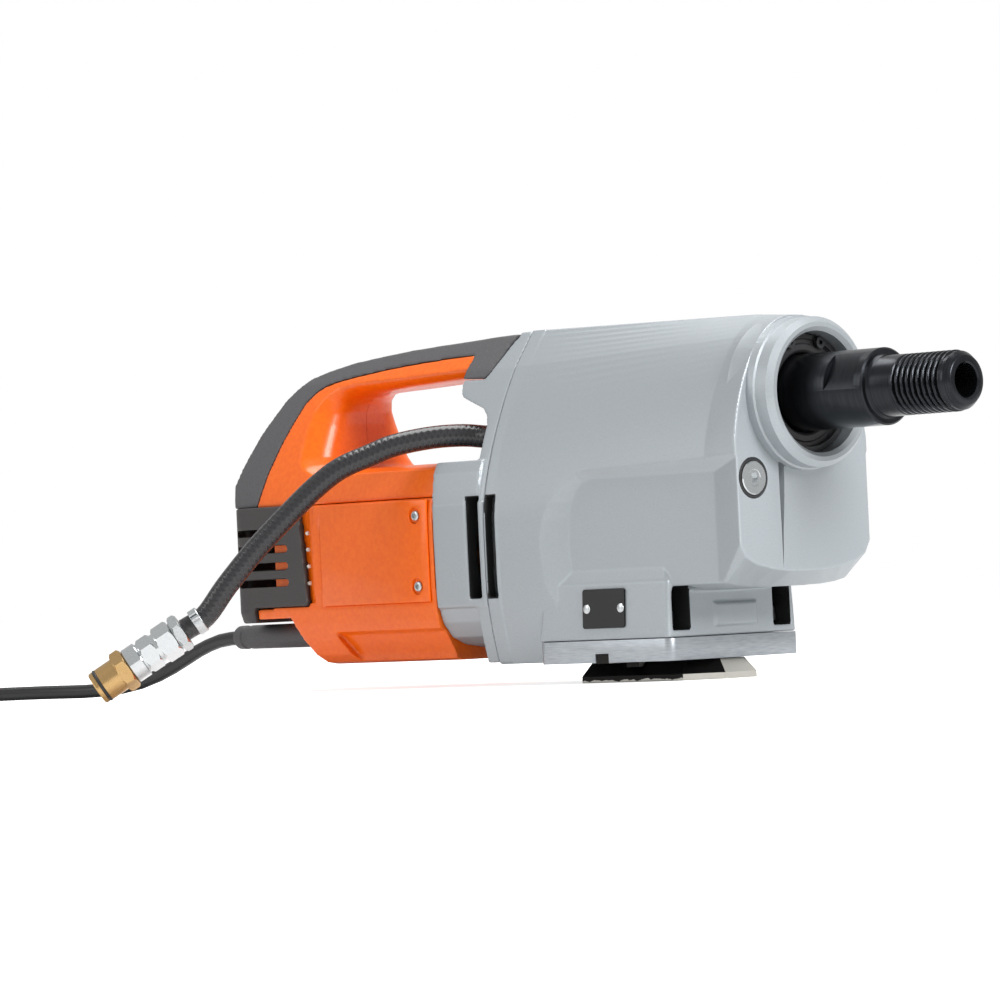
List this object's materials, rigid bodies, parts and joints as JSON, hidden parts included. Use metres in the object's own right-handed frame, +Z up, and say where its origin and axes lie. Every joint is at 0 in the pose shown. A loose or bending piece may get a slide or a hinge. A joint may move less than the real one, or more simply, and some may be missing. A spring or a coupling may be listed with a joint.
{
  "type": "core drill motor",
  "caption": "Electric core drill motor with three-speed gearbox, threaded hollow spindle, loop handle, water hose and quick-mount foot plate.",
  "frame": {"origin": "centre of the quick-mount plate's underside", "axes": "+X along the spindle towards its tip, +Z up, -Y the side that carries the nameplate"},
  "size_m": [0.9741, 0.2514, 0.194],
  "materials": {
    "cast_paint": "grey paint on cast aluminium",
    "machined": "machined",
    "orange": "orange moulding, satin gloss",
    "dark_grip": "fine-grained soft grip",
    "black_plastic": "black moulding",
    "black_steel": "blackened steel",
    "steel": "bright",
    "rubber": "matt black",
    "copper": "copper windings and laminations",
    "brass": "turned brass",
    "board": "coated circuit board",
    "plate_black": "blank black plate",
    "red_plastic": "red moulding"
  },
  "bodies": {
    "machine": {"quick_mount_plate": "black_steel", "base_plate": "machined", "foot_bolt_front_left": "steel", "foot_bolt_front_right": "steel", "foot_bolt_rear": "steel", "gearbox_housing": "cast_paint", "oil_plug": "steel", "oil_plug_seal": "rubber", "motor_flange": "cast_paint", "bearing_plate": "machined", "spindle_front_bearing": "steel", "spindle_rear_bearing": "steel", "armature_front_bearing": "steel", "armature_rear_bearing": "steel", "shaft_seal": "rubber", "retaining_ring": "black_steel", "stator": "copper", "carbon_brush_left": "black_plastic", "carbon_brush_right": "black_plastic", "motor_housing": "orange", "brush_cover_left": "orange", "brush_cover_right": "orange", "cover_screw_left_lower": "steel", "cover_screw_left_upper": "steel", "cover_screw_right_lower": "steel", "cover_screw_right_upper": "steel", "handle_shell_left": "orange", "handle_shell_right": "orange", "control_board": "board", "handle_grip_strip": "dark_grip", "rear_guard": "black_plastic", "nameplate": "plate_black", "nameplate_rivet_front": "steel", "nameplate_rivet_rear": "steel", "water_inlet": "brass", "water_swivel": "brass", "water_hose": "rubber", "hose_clamp": "steel", "coupling_nut": "steel", "coupling_body": "steel", "coupling_nipple": "brass", "strain_relief": "rubber", "power_cord": "rubber", "cord_coil": "rubber", "power_plug": "rubber"},
    "spindle": {"spindle": "black_steel", "low_gear": "steel", "gear_cluster": "steel"},
    "layshaft": {"layshaft": "steel"},
    "middle_shaft": {"middle_shaft": "steel"},
    "armature": {"armature_shaft": "steel", "armature_core": "copper", "commutator": "copper", "cooling_fan": "black_plastic"},
    "mid_pinion": {"mid_pinion": "steel"},
    "high_pinion": {"high_pinion": "steel"},
    "gear_selector": {"selector_shaft": "steel", "selector_knob": "black_plastic"},
    "shift_bar": {"shift_bar": "steel"},
    "power_switch": {"switch_rocker": "red_plastic"}
  },
  "joints": [
    {"name": "spindle_spin", "type": "hinge", "parent": "machine", "child": "spindle", "pos_m": [0, 0, 0.1485], "axis": [1, 0, 0], "continuous": true},
    {"name": "layshaft_spin", "type": "hinge", "parent": "machine", "child": "layshaft", "pos_m": [0, -0.014, 0.10983], "axis": [1, 0, 0], "continuous": true},
    {"name": "middle_shaft_spin", "type": "hinge", "parent": "machine", "child": "middle_shaft", "pos_m": [0, 0.0181, 0.09353], "axis": [1, 0, 0], "continuous": true},
    {"name": "armature_spin", "type": "hinge", "parent": "machine", "child": "armature", "pos_m": [0, 0, 0.072], "axis": [1, 0, 0], "continuous": true},
    {"name": "mid_pinion_spin", "type": "hinge", "parent": "machine", "child": "mid_pinion", "pos_m": [0, -0.014, 0.10983], "axis": [1, 0, 0], "continuous": true},
    {"name": "high_pinion_spin", "type": "hinge", "parent": "machine", "child": "high_pinion", "pos_m": [0, -0.014, 0.10983], "axis": [1, 0, 0], "continuous": true},
    {"name": "gear_selector_turn", "type": "hinge", "parent": "machine", "child": "gear_selector", "pos_m": [0.07, 0, 0.09599], "axis": [0, 1, 0], "range_deg": [-62, 62]},
    {"name": "shift_bar_slide", "type": "slide", "parent": "machine", "child": "shift_bar", "axis": [1, 0, 0], "range_m": [-0.013, 0.013]},
    {"name": "power_switch_rock", "type": "hinge", "parent": "machine", "child": "power_switch", "pos_m": [-0.17, 0.045, 0.036], "axis": [0, 0, 1], "range_deg": [-8, 8]}
  ],
  "couplings": [
    {"joint": "layshaft_spin", "follows": "spindle_spin", "ratio": -2.9167},
    {"joint": "middle_shaft_spin", "follows": "spindle_spin", "ratio": 8.75},
    {"joint": "armature_spin", "follows": "spindle_spin", "ratio": -35},
    {"joint": "mid_pinion_spin", "follows": "spindle_spin", "ratio": -2.1333},
    {"joint": "high_pinion_spin", "follows": "spindle_spin", "ratio": -1.4737},
    {"joint": "shift_bar_slide", "follows": "gear_selector_turn", "m_per_rad": 0.012}
  ]
}
